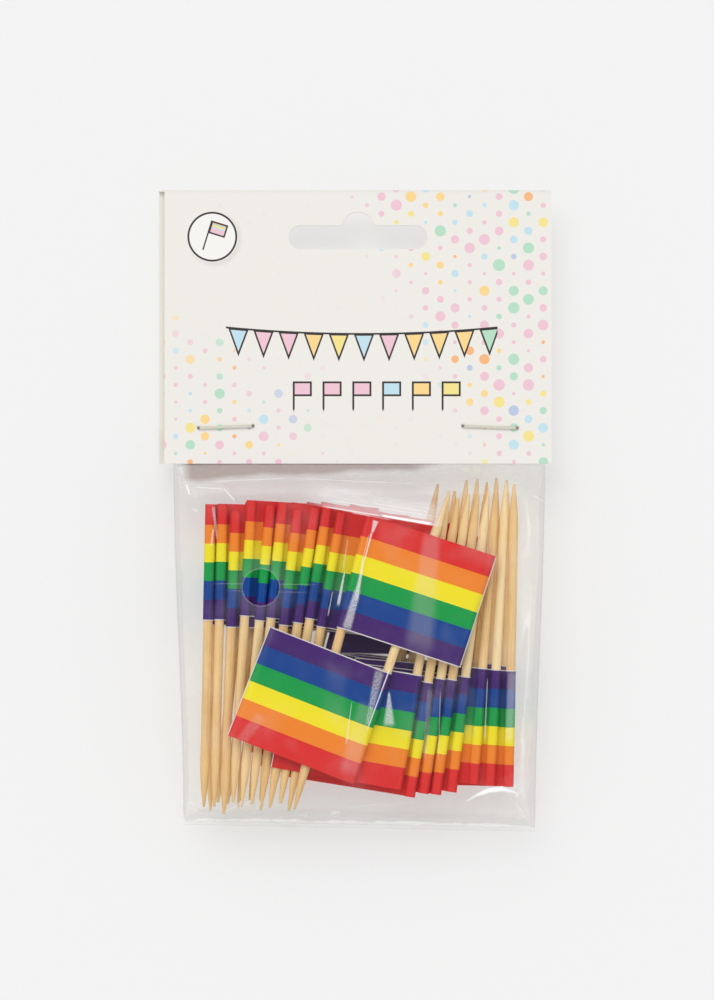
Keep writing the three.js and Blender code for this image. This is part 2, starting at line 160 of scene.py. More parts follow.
class Nodes:
    """A tree of shader nodes, to which nodes are added one by one."""

    def __init__(self, tree):
        self.tree = tree

    def set(self, node, socket, value):
        """Links a node's socket to a tone or another socket, or gives it a value."""
        if isinstance(value, Tone):
            value = value.socket
        if isinstance(value, bpy.types.NodeSocket):
            self.tree.links.new(value, node.inputs[socket])
        else:
            node.inputs[socket].default_value = value

    def add(self, kind, settings, values, output=0):
        """A node of that kind with its settings first, then its sockets' values or links."""
        node = self.tree.nodes.new(kind)
        for name, value in settings.items():
            if name == "stops":
                self.set_stops(node.color_ramp, value)
            else:
                setattr(node, name, value)
        for socket, value in values.items():
            self.set(node, socket, value)
        return Tone(self, node.outputs[output])

    @staticmethod
    def set_stops(ramp, stops):
        """Gives a ramp its stops, each a place from 0 to 1 and a colour."""
        while len(ramp.elements) < len(stops):
            ramp.elements.new(0.5)
        for element, (place, colour) in zip(ramp.elements, stops):
            element.position = place
            element.color = colour


class Finish(Nodes):
    """A material. Its surface is a Principled shader."""

    def __init__(self, name, **values):
        self.material = bpy.data.materials.new(name)
        self.material.use_nodes = True
        super().__init__(self.material.node_tree)
        self.surface = self.tree.nodes["Principled BSDF"]
        self.output = self.tree.nodes["Material Output"]
        for socket, value in values.items():
            self.set(self.surface, socket.replace("_", " "), value)

    def parts(self, vector):
        """The sockets of a vector's X, Y and Z."""
        return self.add("ShaderNodeSeparateXYZ", {}, {0: vector}).socket.node.outputs

    def places(self):
        """X, Y and Z on the piece, in millimetres."""
        here = self.add("ShaderNodeTexCoord", {}, {}, "Object")
        parts = self.parts(here)
        return [Tone(self, parts[i]) * (1 / MM) for i in range(3)]

    def along(self):
        """The two numbers of the piece's own map of its surface."""
        here = self.add("ShaderNodeUVMap", {"uv_map": "laid_flat"}, {})
        parts = self.parts(here)
        return [Tone(self, parts[i]) for i in range(2)]

    def own(self, name):
        """A number that the mesh holds for each of its points."""
        return self.add("ShaderNodeAttribute", {"attribute_name": name}, {}, "Fac")

    def point(self, *parts):
        """A place from its X, Y and Z."""
        return self.add("ShaderNodeCombineXYZ", {}, dict(enumerate(parts)))

    def noise(self, where, scale, detail=2, rough=0.5):
        """Cloudy noise about 0.5, with that many clouds to a unit of where."""
        values = {"Vector": where, "Scale": scale, "Detail": detail, "Roughness": rough}
        return self.add("ShaderNodeTexNoise", {}, values, "Fac")

    def dice(self, where):
        """A number of chance from 0 to 1, one for each value of where."""
        return self.add("ShaderNodeTexWhiteNoise", {}, {"Vector": where}, "Value")

    def blend(self, share, first, second):
        """From the first colour to the second by share."""
        settings = {"data_type": "RGBA"}
        return self.add("ShaderNodeMix", settings, {0: share, 6: first, 7: second}, 2)

    def ramp(self, share, stops, steps=False):
        """The colour at that share along the stops, which blend or follow one another in steps."""
        colour = self.add("ShaderNodeValToRGB", {"stops": stops}, {0: share})
        colour.socket.node.color_ramp.interpolation = "CONSTANT" if steps else "LINEAR"
        return colour

    def bump(self, height, depth, turned=None):
        """Lets a height from 0 to 1 stand that many millimetres out of the surface."""
        values = {"Height": height, "Distance": depth * MM, "Strength": 1.0}
        if turned:
            values["Normal"] = turned
        bumped = self.add("ShaderNodeBump", {}, values)
        self.set(self.surface, "Normal", bumped)
        return bumped


BACKDROP = linear(243, 243, 243)
TABLE_COLOUR = linear(239, 239, 239)
DAY_WHITE = (1.0, 1.0, 1.0, 1.0)

table_finish = Finish(
    "table_top",
    Roughness=1.0,
    Specular_IOR_Level=0.0,
    Base_Color=(*(TABLE_LIT * np.array(TABLE_COLOUR[:3])).tolist(), 1.0),
    Emission_Color=BACKDROP,
    Emission_Strength=1 - TABLE_LIT,
)
from_view = table_finish.add("ShaderNodeLightPath", {}, {}, "Is Camera Ray")
behind = table_finish.add("ShaderNodeNewGeometry", {}, {}, "Backfacing")
clear = table_finish.add("ShaderNodeBsdfTransparent", {}, {})
seen = table_finish.add(
    "ShaderNodeMixShader",
    {},
    {0: from_view * (1 - behind), 1: clear, 2: table_finish.surface.outputs[0]},
)
table_finish.set(table_finish.output, "Surface", seen)
corners = np.array([[-1, 0, -1], [1, 0, -1], [1, 0, 1], [-1, 0, 1]]) * TABLE_HALF
table_mesh = bpy.data.meshes.new("table_top")
table_mesh.from_pydata(((corners + [0, TABLE_DEPTH, 0]) * MM).tolist(), [], [(0, 1, 2, 3)])
table_mesh.materials.append(table_finish.material)
table_top = bpy.data.objects.new("table_top", table_mesh)
bpy.context.scene.collection.objects.link(table_top)

# The studio is white all round. Glossy faces mirror less of it than it lights, and where the
# view meets it, it is the backdrop's grey.
world = bpy.data.worlds.new("studio")
world.use_nodes = True
bpy.context.scene.world = world
studio = Nodes(world.node_tree)
sky = studio.tree.nodes["Background"]
mirrored = studio.add("ShaderNodeLightPath", {}, {}, "Is Glossy Ray")
viewed = Tone(studio, mirrored.socket.node.outputs["Is Camera Ray"])
viewed_through = Tone(studio, mirrored.socket.node.outputs["Is Transmission Ray"])
studio.set(sky, "Color", DAY_WHITE)
studio.set(sky, "Strength", mirrored.math("MULTIPLY_ADD", MIRRORED - DAYLIGHT, DAYLIGHT))
shown = studio.add("ShaderNodeBackground", {}, {"Color": BACKDROP})
either = viewed.most(viewed_through)
all_round = studio.add("ShaderNodeMixShader", {}, {0: either, 1: sky.outputs[0], 2: shown})
studio.set(studio.tree.nodes["World Output"], 0, all_round)


def aim(lamp, place):
    """Puts a lamp at a place, in millimetres, and turns it to the packet's middle."""
    lamp.location = np.array(place) * MM
    toward = lamp.location - type(lamp.location)(np.array(AIMED_AT) * MM)
    lamp.rotation_euler = toward.to_track_quat("Z", "Y").to_euler()
    bpy.context.scene.collection.objects.link(lamp)


for name, come_from, strength in SUNS:
    sun = bpy.data.objects.new(name, bpy.data.lights.new(name, "SUN"))
    sun.data.energy = strength
    sun.data.angle = math.radians(SUN_SOFTNESS)
    aim(sun, np.array(come_from) * SUN_AWAY)

# Three soft boxes that only the film, the wire and other glossy faces mirror.
for name, place, wide, high, power in SOFT_BOXES:
    lamp = bpy.data.objects.new(name, bpy.data.lights.new(name, "AREA"))
    lamp.data.shape = "RECTANGLE"
    lamp.data.size = wide * MM
    lamp.data.size_y = high * MM
    lamp.data.energy = power
    lamp.visible_diffuse = False
    lamp.visible_camera = False
    lamp.visible_transmission = False
    aim(lamp, place)


# The header card: white lined board, creased once and folded over the bag's mouth, with the
# slot punched through both panels. Its print is confetti on an even grid, thick in two corners
# and thin between them, with plain bunting, a row of little picks and a round badge.
CARD_WHITE = linear(236, 233, 227)
BARE_BOARD = linear(236, 232, 219)
WORN_BOARD = linear(214, 208, 198)
BOARD_ROUGHNESS = 0.5
FRONT_PANEL_EDGE = -41.6
FOLD_LEVEL = 4.2
FOLD_HALF = 0.35
WEAR = 0.05
INK = linear(44, 36, 32)
SOFT_EDGE = 0.06
STROKE = 0.42

# Confetti: a dot's pitches, its place in the grid and its radius, how much thinner it gets
# outside the thick corners, and the few faint dots between them.
CONFETTI = [
    (0.00, linear(238, 196, 210)),
    (0.46, linear(192, 224, 236)),
    (0.60, linear(250, 214, 140)),
    (0.73, linear(244, 226, 140)),
    (0.80, linear(180, 222, 196)),
    (0.89, linear(186, 198, 226)),
    (0.95, linear(248, 182, 124)),
]
DOT_PITCH = 3.16
ROW_PITCH = 3.68
DOT_GRID = (1.9, 1.1)
DOT_LEAST = 0.34
DOT_MOST = 1.3
MORE_SMALL = 1.7
THIN_SIZE = 0.35
RIGHT_START = 9
RIGHT_LEVEL = 2
RIGHT_SLANT = 0.5
RIGHT_WIDTH = 18
LEFT_CORNER = (42, 57)
LEFT_REACH = 46
LEFT_FADE = 34
CROWDING = 1.5
INK_GAIN = 1.6
INK_LEAST = 0.1
INK_SPREAD = 0.35
YES_OR_NO = 0.02
FAINT_DOTS = 0.16
FAINT_INK = 0.12
BACK_INK = 0.9
DICE_SEEDS = (3.0, 7.0, 11.0, 19.0)

# The badge's centre and radius, and its ring, shadow and pick.
BADGE = (-31.3, -5.3, 5.5)
BADGE_WHITE = linear(243, 241, 237)
BADGE_SHADE = linear(120, 116, 112)
SHADE_SHIFT = 0.5
SHADE_RISE = (0.9, 0.4)
SHADE_DEPTH = 0.16
RING_INSET = 0.35
BADGE_LEAN = 0.3
BADGE_STICK = (1.1, 0.16, 3.3)
BADGE_FLAG = (0.75, 1.9)
BADGE_FLAG_HALF = (1.85, 1.4)
BADGE_STRIPES_HALF = (1.5, 1.05)

# The bunting's centre, half length and pitch, and its cord and pennants.
BUNTING = (0.8, -26.2, 29.2, 5.4)
CORD_SAG = 1.4
CORD_HALF = 0.2
PENNANT_DROP = 6.0
PENNANT_TAPER = 0.37
PENNANT_SEEDS = (5.0, 2.0)

# The row of little picks: centre, half length and pitch, then a pick's stick, point and flag.
PICK_ROW = (4.2, -39.4, 19.6, 6.4)
ROW_END = 0.4
LITTLE_STICK = (1.6, 0.3, 3.3)
LITTLE_TIP = 3.6
LITTLE_POINT = 0.8
LITTLE_FLAG = (0.25, 1.4, 2.05, 1.6)

card = Finish("printed_board")
x, y, z = card.places()


def inside(distance):
    """1 where a distance, in millimetres, is under 0, with a soft edge."""
    return distance.rise(SOFT_EDGE, -SOFT_EDGE)


def block(across, up, half_width, half_height):
    """How far a point lies outside a rectangle about 0."""
    return (abs(across) - half_width).most(abs(up) - half_height)


column = (x / DOT_PITCH + DOT_GRID[0]).floor()
odd = column - (column * 0.5).floor() * 2
up_grid = z / ROW_PITCH + DOT_GRID[1] - odd * 0.5
row = up_grid.floor()
beside = (x / DOT_PITCH + DOT_GRID[0] - column - 0.5) * DOT_PITCH
above = (up_grid - row - 0.5) * ROW_PITCH
reach = (beside * beside + above * above) ** 0.5
thick_right = ((x + RIGHT_START + (z - RIGHT_LEVEL) * RIGHT_SLANT) / RIGHT_WIDTH).kept()
corner = ((x + LEFT_CORNER[0]) ** 2 + (z + LEFT_CORNER[1]) ** 2) ** 0.5
thick_left = ((LEFT_REACH - corner) / LEFT_FADE).kept()
thick = thick_right.most(thick_left)
size_dice, hue_dice, there_dice, fade_dice = [
    card.dice(card.point(column, row, seed)) for seed in DICE_SEEDS
]
full_size = (DOT_MOST - DOT_LEAST) * size_dice ** MORE_SMALL
radius = DOT_LEAST + full_size * (THIN_SIZE + thick * (1 - THIN_SIZE))
there = (thick * CROWDING - there_dice).rise(0.0, YES_OR_NO)
strength = (thick * INK_GAIN + INK_LEAST - fade_dice * INK_SPREAD).kept()
faint = (FAINT_DOTS - fade_dice).rise(0.0, YES_OR_NO) * FAINT_INK
dots = inside(reach - radius) * (there * strength).most(faint)
front_colour = card.blend(dots, CARD_WHITE, card.ramp(hue_dice, CONFETTI, True))


def print_over(base, shape, colour):
    """Prints a shape in one colour over what is printed already."""
    return card.blend(shape.kept(), base, colour)


# The badge has a soft shadow, a white face and a ring, and one leaning pick inside.
badge_x = x - BADGE[0]
badge_z = z - BADGE[1]
from_badge = (badge_x * badge_x + badge_z * badge_z) ** 0.5
from_shade = ((badge_x - SHADE_SHIFT) ** 2 + (badge_z + SHADE_SHIFT) ** 2) ** 0.5
shade = from_shade.rise(BADGE[2] + SHADE_RISE[0], BADGE[2] - SHADE_RISE[1]) * SHADE_DEPTH
front_colour = print_over(front_colour, shade, BADGE_SHADE)
front_colour = print_over(front_colour, inside(from_badge - BADGE[2]), BADGE_WHITE)
ring = inside(abs(from_badge - (BADGE[2] - RING_INSET)) - STROKE / 2)
lean_x = badge_x * math.cos(BADGE_LEAN) + badge_z * math.sin(-BADGE_LEAN)
lean_z = badge_z * math.cos(BADGE_LEAN) - badge_x * math.sin(-BADGE_LEAN)
badge_stick = inside(block(lean_x + BADGE_STICK[0], lean_z, *BADGE_STICK[1:]))
over_flag = (lean_x - BADGE_FLAG[0], lean_z - BADGE_FLAG[1])
badge_flag = inside(block(*over_flag, *BADGE_FLAG_HALF))
badge_print = ring.most(badge_stick).most(badge_flag)
front_colour = print_over(front_colour, badge_print, INK)
badge_stripe = inside(block(*over_flag, *BADGE_STRIPES_HALF))
flag_foot = BADGE_FLAG[1] - BADGE_STRIPES_HALF[1]
badge_share = ((lean_z - flag_foot) / (2 * BADGE_STRIPES_HALF[1])).kept()
badge_hue = card.ramp(badge_share, CONFETTI, True)
front_colour = print_over(front_colour, badge_stripe, badge_hue)

# The bunting hangs on a cord with a slight sag, and each pennant has an inked outline.
in_bunting = inside(abs(x - BUNTING[0]) - BUNTING[2])
sag = ((x - BUNTING[0]) / BUNTING[2]) ** 2 * CORD_SAG
below_cord = BUNTING[1] + sag - z
pennant = ((x - BUNTING[0] + BUNTING[2]) / BUNTING[3]).floor()
over_pennant = (x - BUNTING[0] + BUNTING[2]) - (pennant + 0.5) * BUNTING[3]
side_line = abs(over_pennant) - (PENNANT_DROP - below_cord) * PENNANT_TAPER
outline = side_line.most(-1 * below_cord)
pennant_ink = inside(abs(outline + STROKE / 2) - STROKE / 2)
pennant_ink = pennant_ink.most(inside(abs(below_cord) - CORD_HALF))
front_colour = print_over(front_colour, in_bunting * pennant_ink, INK)
pennant_dice = card.dice(card.point(pennant, *PENNANT_SEEDS))
pennant_hue = card.ramp(pennant_dice, CONFETTI, True)
front_colour = print_over(front_colour, in_bunting * inside(outline + STROKE), pennant_hue)

# The little picks stand in a row, each a stick with a point and a flag.
in_row = inside(abs(x - PICK_ROW[0]) - PICK_ROW[2] + ROW_END)
place = ((x - PICK_ROW[0] + PICK_ROW[2]) / PICK_ROW[3]).floor()
over_pick = (x - PICK_ROW[0] + PICK_ROW[2]) - (place + 0.5) * PICK_ROW[3]
up_pick = z - PICK_ROW[1]
stick_half = (up_pick + LITTLE_TIP).rise(0.0, LITTLE_POINT) * (STROKE / 2)
beside_stick = abs(over_pick + LITTLE_STICK[0]) - stick_half
little_stick = inside(beside_stick.most(abs(up_pick + LITTLE_STICK[1]) - LITTLE_STICK[2]))
flag_edge = block(over_pick - LITTLE_FLAG[0], up_pick - LITTLE_FLAG[1], *LITTLE_FLAG[2:])
little_ink = little_stick.most(inside(flag_edge))
front_colour = print_over(front_colour, in_row * little_ink, INK)
pick_hue = card.ramp(((place + 0.5) / len(CONFETTI)).kept(), CONFETTI, True)
front_colour = print_over(front_colour, in_row * inside(flag_edge + STROKE), pick_hue)

# The board has a fine tooth, is a little darker along its crease, and is bare on the inner face
# of the back panel, which shows beside the front panel's edge. The back has confetti only.
tooth = card.noise(card.point(x, y, z), 3.0, 4, 0.6)
clouding = card.noise(card.point(x, y, z), 0.06, 2)
flat_normal = card.add("ShaderNodeTexCoord", {}, {}, "Normal")
facing_front = Tone(card, card.parts(flat_normal)[1]).rise(-0.2, -0.6)
crease = inside(abs(z - FOLD_LEVEL) - FOLD_HALF) * WEAR
plain = card.blend(dots * BACK_INK, CARD_WHITE, card.ramp(hue_dice, CONFETTI, True))
inner_face = facing_front * x.rise(FRONT_PANEL_EDGE + 0.05, FRONT_PANEL_EDGE - 0.05)
printed = card.blend(facing_front, plain, front_colour)
printed = card.blend(inner_face, printed, BARE_BOARD)
worn = (tooth - 0.5) * WEAR + (clouding - 0.5) * WEAR + crease
card.set(card.surface, "Base Color", card.blend(worn.kept(), printed, WORN_BOARD))
card.set(card.surface, "Roughness", BOARD_ROUGHNESS + (tooth - 0.5) * 0.2)
turned = card.add("ShaderNodeNewGeometry", {}, {}, "Normal")
sides = card.parts(turned)
level = card.point(sides[0], sides[1], Tone(card, sides[2]) * 0.2)
level = card.add("ShaderNodeVectorMath", {"operation": "NORMALIZE"}, {0: level})
card.bump(tooth, 0.02, level)


def dress(node, finish):
    """Gives a solid, as it stands, its finish."""
    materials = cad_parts[node].data.materials
    materials.clear()
    materials.append(finish.material)


dress("header_card", card)


# The staples: flat bright wire, driven through card and film and clinched behind, with fine
# draw lines along the wire and dark shade where the crown bends down into the card.
STAPLES = ("staple_left", "staple_right")
WIRE_DARK = linear(204, 202, 188)
WIRE_BRIGHT = linear(242, 239, 224)
BEND_DARK = linear(96, 86, 72)
BEND_FROM_END = (0.75, 0.35)

wire = Finish("staple_wire", Metallic=0.4)
x, y, z = wire.places()
draw_lines = wire.noise(wire.point(x * 0.4, y * 6, z * 14), 1.2, 3)
bend_shade = wire.noise(wire.point(x, y, z), 0.9, 2)
wire_colour = wire.blend(draw_lines, WIRE_DARK, WIRE_BRIGHT)
crowns = [np.array(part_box(node))[:, 0] / MM for node in STAPLES]
crown_half = np.ptp(crowns[0]) / 2
from_middle = abs(x - crowns[0].mean()).least(abs(x - crowns[1].mean()))
at_bend = from_middle.rise(crown_half - BEND_FROM_END[0], crown_half - BEND_FROM_END[1])
wire_colour = wire.blend(at_bend * 0.85, wire_colour, BEND_DARK)
wire.set(wire.surface, "Base Color", wire_colour)
wire.set(wire.surface, "Roughness", 0.28 + bend_shade * 0.22)
wire.bump(draw_lines, 0.02)
for node in STAPLES:
    dress(node, wire)


# The sticks: turned birch, pointed at one end by a cutter that leaves a slightly bellied cone,
# and cut square at the other. Grain runs along them, and no two have quite the same colour. They
# lie loose in the bag in two bunches, head to tail, each in a front and a rear row.
STICK_LENGTH = 65
STICK_RADIUS = 1.0
POINT_LENGTH = 8.5
POINT_SPREAD = (0.88, 1.06)
TIP_RADIUS = (0.16, 0.3)
TIP_OFF = 0.12
STRAIGHT_FROM = 30
BEVEL = (0.12, 0.1)
OUT_OF_ROUND = 0.008
GIRTH = 6.3
AROUND = 24
POINT_RINGS = np.array([0.0, 0.03, 0.12, 0.25, 0.4, 0.55, 0.7, 0.85, 1.0])
BODY_RINGS = np.linspace(0.04, 1, 12)[:-1]

# The paper round a stick, its fly and its hoist, and the gap that is left between two sheets,
# because they decide how closely the picks lie.
PAPER = 0.1
HOIST = 25
FLY = 27.5
LAYER_GAP = 0.07
BORE = STICK_RADIUS + 0.03
WRAP = BORE + PAPER
LAYER = 2 * PAPER + LAYER_GAP
WAIST = STICK_LENGTH - HOIST

# A row starts at its outermost stick, at its inset: then come the gap between two points, the
# free widths between the wrapped sticks at the flags' lower edge, and how far each pick slid
# down. A top pick has its distance beyond its row, its lean, its drop and its flag's skew.
ROW_SPAN = 64.9
FIRST_LEAN = math.radians(1.2)
SHIFT = 0.3
ROWS = {
    "left": (0, 0.2, [0.17, 0.31, 0.59, 0.99, 0.19, 0.64, 0.74, 0.19, 0.54],
             [0.9, 0.8, 2.4, 0, 1.0, 0.5, 2.0, 1.5, 0.6, 2.4]),
    "right": (0, 0.2, [0.97, 0.75, 1.29, 0.54, 0.21, 0.32, 0.43],
              [2.5, 2.7, 3.0, 1.2, 0.6, 0.8, 0, 1.6]),
    "left_rear": (1.2, 0.4, [2.9, 0.97, 0.57, 0.54, 0.54, 0.54, 2.4],
                  [2.0, 0.4, 0.9, 1.6, 0.3, 0.2, 0.1, 0.3]),
    "right_rear": (1.6, 0.4, [0.87, 1.07, 1.07, 0.32, 0.2, 3.3, 0.3],
                   [3.4, 3.9, 3.0, 3.8, 3.6, 1.2, 0.6, 3.4]),
}
TOPS = {"left": (4.62, 14.6, 2.67, 3.6), "right": (6.93, 19.0, 2.33, 2.4)}


def lay_row(row):
    """Each pick of a row as its place at the waist, its lean and its drop."""
    inset, point_gap, gaps, drops = ROWS[row]
    steps = np.array([0.0, *gaps]) + 2 * WRAP
    at_waist = inset + np.cumsum(steps) - steps[0]
    at_point = inset - math.tan(FIRST_LEAN) * (WAIST - POINT_LENGTH)
    at_point = at_point + np.arange(len(drops)) * (2 * STICK_RADIUS + point_gap)
    leans = np.arctan((at_waist - at_point) / (WAIST - POINT_LENGTH))
    return list(zip(at_waist, leans, drops))


def fall_of(row):
    """The slope at which a row's flies sink behind its sticks, and where each runs flat."""
    at_waist = np.array([at for at, _, _ in lay_row(row)])
    slope = LAYER / np.diff(at_waist).min()
    return slope, at_waist[-1] - at_waist + LAYER / slope


def deepest(row):
    """How far the fly of a row sinks that sinks most."""
    slope, flat_from = fall_of(row)
    return slope * np.minimum(flat_from, FLY).max()


# The rows' depths. The stack runs from the top picks' flies in front to the rear row's behind,
# and its middle is at 0.
TOP_LIFT = 0.1
front_fly = STICK_RADIUS + LAYER_GAP + 2 * PAPER + LAYER + TOP_LIFT
top_to_front = 2 * WRAP + LAYER + LAYER_GAP
behind_stick = BORE + 2 * PAPER
front_to_rear = behind_stick + max(deepest("left"), deepest("right")) + LAYER_GAP + WRAP
stack = front_fly + top_to_front + front_to_rear + behind_stick
stack += max(deepest("left_rear"), deepest("right_rear"))
TOP_DEPTH = front_fly - stack / 2
FRONT_DEPTH = TOP_DEPTH + top_to_front
REAR_DEPTH = FRONT_DEPTH + front_to_rear

# The levels of the points: the right bunch's point up, the left bunch's down.
CARD_BOTTOM = -54.1
TIPS_BELOW_CARD = 6.85
BUNCH_OFFSET = 0.95
RIGHT_FOOT = CARD_BOTTOM - TIPS_BELOW_CARD
LEFT_FOOT = RIGHT_FOOT - STICK_LENGTH - BUNCH_OFFSET

BARE_WOOD = [
    (0.0, linear(212, 164, 100)),
    (0.35, linear(240, 200, 138)),
    (0.65, linear(250, 219, 161)),
    (1.0, linear(255, 239, 198)),
]
PORE_BROWN = linear(170, 118, 66)
POINT_BROWN = linear(206, 156, 96)

birch = Finish("birch")
round_stick, up_stick = birch.along()
tone = birch.own("tone")
grain_place = birch.point(round_stick * 3.1, up_stick * 0.05, tone * 90)
grain = birch.noise(grain_place, 1.5, 4, 0.65)
pores = birch.noise(birch.point(round_stick * 9, up_stick * 0.22, tone * 50), 1.4, 2).rise(0.6, 0.75)
clouds = birch.noise(birch.point(round_stick * 0.4, up_stick * 0.08, tone * 30), 1.0, 2)
wood_share = (grain * 0.75 + clouds * 0.35 + tone * 0.5 - 0.28).kept()
wood_colour = birch.ramp(wood_share, BARE_WOOD)
wood_colour = birch.blend(pores * 0.45, wood_colour, PORE_BROWN)
point_dark = up_stick.rise(POINT_LENGTH + 1, 1.0) * 0.16
wood_colour = birch.blend(point_dark, wood_colour, POINT_BROWN)
birch.set(birch.surface, "Base Color", wood_colour)
birch.set(birch.surface, "Roughness", 0.55 + grain * 0.2)
birch.bump(grain * 0.7 + pores * -0.4, 0.04)
chance = np.random.default_rng(20)


def stick_points():
    """Rings round the axis: over the point the radius is part line and part sine, then it stays,
    and the blunt end has a small bevel. The first and last rings close to a pole."""
    point_length = POINT_LENGTH * chance.uniform(*POINT_SPREAD)
    tip = chance.uniform(*TIP_RADIUS)
    height = np.concatenate([
        [0.0],
        POINT_RINGS * point_length,
        point_length + BODY_RINGS * (STICK_LENGTH - point_length),
        [STICK_LENGTH - BEVEL[0], STICK_LENGTH, STICK_LENGTH],
    ])
    swell = 0.6 * POINT_RINGS + 0.4 * np.sin(POINT_RINGS * math.pi / 2)
    swell = tip + (STICK_RADIUS - tip) * swell
    width = np.concatenate([
        [0.0], swell, np.full(len(BODY_RINGS), STICK_RADIUS),
        [STICK_RADIUS, STICK_RADIUS - BEVEL[1], 0.0],
    ])
    angle = np.arange(AROUND) * 2 * math.pi / AROUND
    straight = np.clip(1 - height / STRAIGHT_FROM, 0, 1) ** 2
    off = chance.uniform(-TIP_OFF, TIP_OFF, 2)[:, None] * straight
    ripple = 1 + OUT_OF_ROUND * np.sin(angle * 3 + chance.uniform(0, 6))
    px = width[:, None] * np.cos(angle) * ripple + off[0][:, None]
    py = width[:, None] * np.sin(angle) * ripple + off[1][:, None]
    pz = np.broadcast_to(height[:, None], px.shape)
    flat = np.stack([np.broadcast_to(angle / 2 / math.pi * GIRTH, px.shape), pz], -1)
    return np.stack([px, py, pz], -1), flat.reshape(-1, 2)


def settle(points, side, at_waist, lean, drop, depth):
    """Carries a pick's points from its own axis to its place: it leans about its waist and is
    let down by its drop, and a pick of the right bunch is turned half round as well."""
    px, py, pz = np.moveaxis(np.asarray(points, float), -1, 0)
    along_x = px * math.cos(lean) + pz * math.sin(lean)
    along_z = pz * math.cos(lean) - px * math.sin(lean)
    along_x = along_x + at_waist - math.sin(lean) * (WAIST + drop)
    along_z = along_z + WAIST - math.cos(lean) * (WAIST + drop)
    turned = -1 if side == "right" else 1
    foot = RIGHT_FOOT if side == "right" else LEFT_FOOT
    start = turned * -ROW_SPAN / 2 + SHIFT
    py = py * turned if side == "right" else py
    return np.stack([start + turned * along_x, depth + turned * py, foot + turned * along_z], -1)


def ring_faces(rings, around):
    """Quads between each ring and the next, all the way round, facing outwards."""
    low = np.arange(rings - 1)[:, None] * around + np.arange(around)
    high = np.arange(rings - 1)[:, None] * around + (np.arange(around) + 1) % around
    return np.stack([low, high, high + around, low + around], -1).reshape(-1, 4)


def make_piece(name, points, faces, finish, body, flat=None, own=None):
    """A piece from its points in millimetres and its faces, on its body and with its finish.
    flat gives each point's place on the surface laid flat, and own its named numbers."""
    mesh = bpy.data.meshes.new(name)
    mesh.from_pydata((np.asarray(points) * MM).tolist(), [], [list(face) for face in faces])
    mesh.polygons.foreach_set("use_smooth", np.ones(len(mesh.polygons), bool))
    if flat is not None:
        corners = np.zeros(len(mesh.loops), int)
        mesh.loops.foreach_get("vertex_index", corners)
        mesh.uv_layers.new(name="laid_flat")
        mesh.uv_layers["laid_flat"].data.foreach_set("uv", np.asarray(flat)[corners].ravel())
    for key, values in (own or {}).items():
        attribute = mesh.attributes.new(key, "FLOAT", "POINT")
        attribute.data.foreach_set("value", np.broadcast_to(values, len(mesh.vertices)).copy())
    mesh.materials.append(finish.material)
    mesh.update()
    piece = bpy.data.objects.new(name, mesh)
    bpy.context.scene.collection.objects.link(piece)
    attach(piece, body)
    return piece


def make_stick(name, side, place, depth, body):
    """A stick in its place, with its own tone of wood."""
    points, flat = stick_points()
    points = settle(points, side, *place, depth)
    own = {"tone": chance.uniform(0, 1)}
    faces = ring_faces(*points.shape[:2])
    return make_piece(name, points.reshape(-1, 3), faces, birch, body, flat, own)


# The flags: coated paper printed with six stripes, one strip per flag, wrapped round the stick
# and glued to itself, so that the fly is two sheets thick and the cut edges show white.
STRIPES = [
    (0.0, linear(68, 30, 112)),
    (0.165, linear(0, 66, 146)),
    (0.33, linear(0, 158, 72)),
    (0.49, linear(246, 230, 30)),
    (0.65, linear(244, 136, 36)),
    (0.81, linear(224, 42, 40)),
]
THIN_INK = linear(250, 244, 240)
BARE_PAPER = linear(240, 232, 228)
BARE_BORDER = 0.009
BORDER_EDGE = 0.001
FLY_STEPS = 14
WRAP_STEPS = 20
BEND_STEPS = 4
HOIST_STEPS = 10
WRAP_ENDS = 0.87
BEND_BY = 0.62
BEND_TO = 1.25
BEND_DIP = 0.02
SHEET_GAP = 0.003
PRINT_SHIFT = 0.012

paper = Finish("printed_paper", Specular_IOR_Level=0.18)
along_fly, up_hoist = paper.along()
print_shift = paper.own("print_shift")
cut = paper.own("cut")
x, y, z = paper.places()
fibres = paper.noise(paper.point(x, y, z), 6.0, 3, 0.6)
ink_clouds = paper.noise(paper.point(x, y, z), 0.35, 3)
stripe = paper.ramp(up_hoist + print_shift + (fibres - 0.5) * 0.004, STRIPES, True)
thin_ink = ((ink_clouds - 0.48) * 0.06 + (fibres - 0.5) * 0.09).kept()
stripe = paper.blend(thin_ink, stripe, THIN_INK)
lower_border = (BARE_BORDER - up_hoist).rise(-BORDER_EDGE, BORDER_EDGE)
end_border = (along_fly - (1 - BARE_BORDER)).rise(-BORDER_EDGE, BORDER_EDGE)
bare = cut.rise(0.4, 0.6).most(lower_border.most(end_border) * 0.85)
paper.set(paper.surface, "Base Color", paper.blend(bare, stripe, BARE_PAPER))
paper.set(paper.surface, "Roughness", 0.36 + (fibres - 0.5) * 0.16)
paper.bump(fibres, 0.012)


